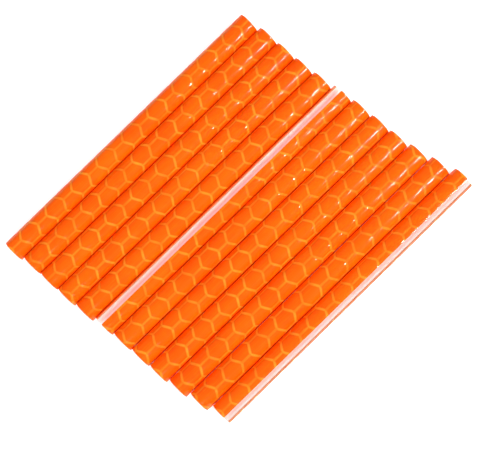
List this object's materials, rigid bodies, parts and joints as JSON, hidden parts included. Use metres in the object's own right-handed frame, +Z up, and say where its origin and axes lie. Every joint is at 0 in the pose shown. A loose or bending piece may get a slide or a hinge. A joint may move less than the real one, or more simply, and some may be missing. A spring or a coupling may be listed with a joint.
{
  "type": "spoke reflector set",
  "caption": "Slit plastic tubes wrapped in orange honeycomb reflective film, which snap over the wire spokes of a wheel to make it seen at night.",
  "frame": {"origin": "middle of the row on the surface that it lies on", "axes": "+X along the reflectors, Y across the row, +Z up"},
  "size_m": [0.0838, 0.0648, 0.0054],
  "materials": {
    "core_plastic": "smooth white extruded plastic, slightly translucent",
    "adhesive": "soft clear acrylic glue layer",
    "backing_film": "satin plastic sheet",
    "face_film": "glossy clear orange sheet with a honeycomb of lighter weld lines over fine prisms"
  },
  "bodies": {
    "reflector_01": {"core_01": "core_plastic", "adhesive_01": "adhesive", "backing_film_01": "backing_film", "face_film_01": "face_film"},
    "reflector_02": {"core_02": "core_plastic", "adhesive_02": "adhesive", "backing_film_02": "backing_film", "face_film_02": "face_film"},
    "reflector_03": {"core_03": "core_plastic", "adhesive_03": "adhesive", "backing_film_03": "backing_film", "face_film_03": "face_film"},
    "reflector_04": {"core_04": "core_plastic", "adhesive_04": "adhesive", "backing_film_04": "backing_film", "face_film_04": "face_film"},
    "reflector_05": {"core_05": "core_plastic", "adhesive_05": "adhesive", "backing_film_05": "backing_film", "face_film_05": "face_film"},
    "reflector_06": {"core_06": "core_plastic", "adhesive_06": "adhesive", "backing_film_06": "backing_film", "face_film_06": "face_film"},
    "reflector_07": {"core_07": "core_plastic", "adhesive_07": "adhesive", "backing_film_07": "backing_film", "face_film_07": "face_film"},
    "reflector_08": {"core_08": "core_plastic", "adhesive_08": "adhesive", "backing_film_08": "backing_film", "face_film_08": "face_film"},
    "reflector_09": {"core_09": "core_plastic", "adhesive_09": "adhesive", "backing_film_09": "backing_film", "face_film_09": "face_film"},
    "reflector_10": {"core_10": "core_plastic", "adhesive_10": "adhesive", "backing_film_10": "backing_film", "face_film_10": "face_film"},
    "reflector_11": {"core_11": "core_plastic", "adhesive_11": "adhesive", "backing_film_11": "backing_film", "face_film_11": "face_film"},
    "reflector_12": {"core_12": "core_plastic", "adhesive_12": "adhesive", "backing_film_12": "backing_film", "face_film_12": "face_film"}
  },
  "joints": [
    {"name": "lift_02", "type": "slide", "parent": "reflector_01", "child": "reflector_02", "axis": [0, 0, 1], "range_m": [0, 0.03]},
    {"name": "lift_03", "type": "slide", "parent": "reflector_01", "child": "reflector_03", "axis": [0, 0, 1], "range_m": [0, 0.03]},
    {"name": "lift_04", "type": "slide", "parent": "reflector_01", "child": "reflector_04", "axis": [0, 0, 1], "range_m": [0, 0.03]},
    {"name": "lift_05", "type": "slide", "parent": "reflector_01", "child": "reflector_05", "axis": [0, 0, 1], "range_m": [0, 0.03]},
    {"name": "lift_06", "type": "slide", "parent": "reflector_01", "child": "reflector_06", "axis": [0, 0, 1], "range_m": [0, 0.03]},
    {"name": "lift_07", "type": "slide", "parent": "reflector_01", "child": "reflector_07", "axis": [0, 0, 1], "range_m": [0, 0.03]},
    {"name": "lift_08", "type": "slide", "parent": "reflector_01", "child": "reflector_08", "axis": [0, 0, 1], "range_m": [0, 0.03]},
    {"name": "lift_09", "type": "slide", "parent": "reflector_01", "child": "reflector_09", "axis": [0, 0, 1], "range_m": [0, 0.03]},
    {"name": "lift_10", "type": "slide", "parent": "reflector_01", "child": "reflector_10", "axis": [0, 0, 1], "range_m": [0, 0.03]},
    {"name": "lift_11", "type": "slide", "parent": "reflector_01", "child": "reflector_11", "axis": [0, 0, 1], "range_m": [0, 0.03]},
    {"name": "lift_12", "type": "slide", "parent": "reflector_01", "child": "reflector_12", "axis": [0, 0, 1], "range_m": [0, 0.03]}
  ]
}
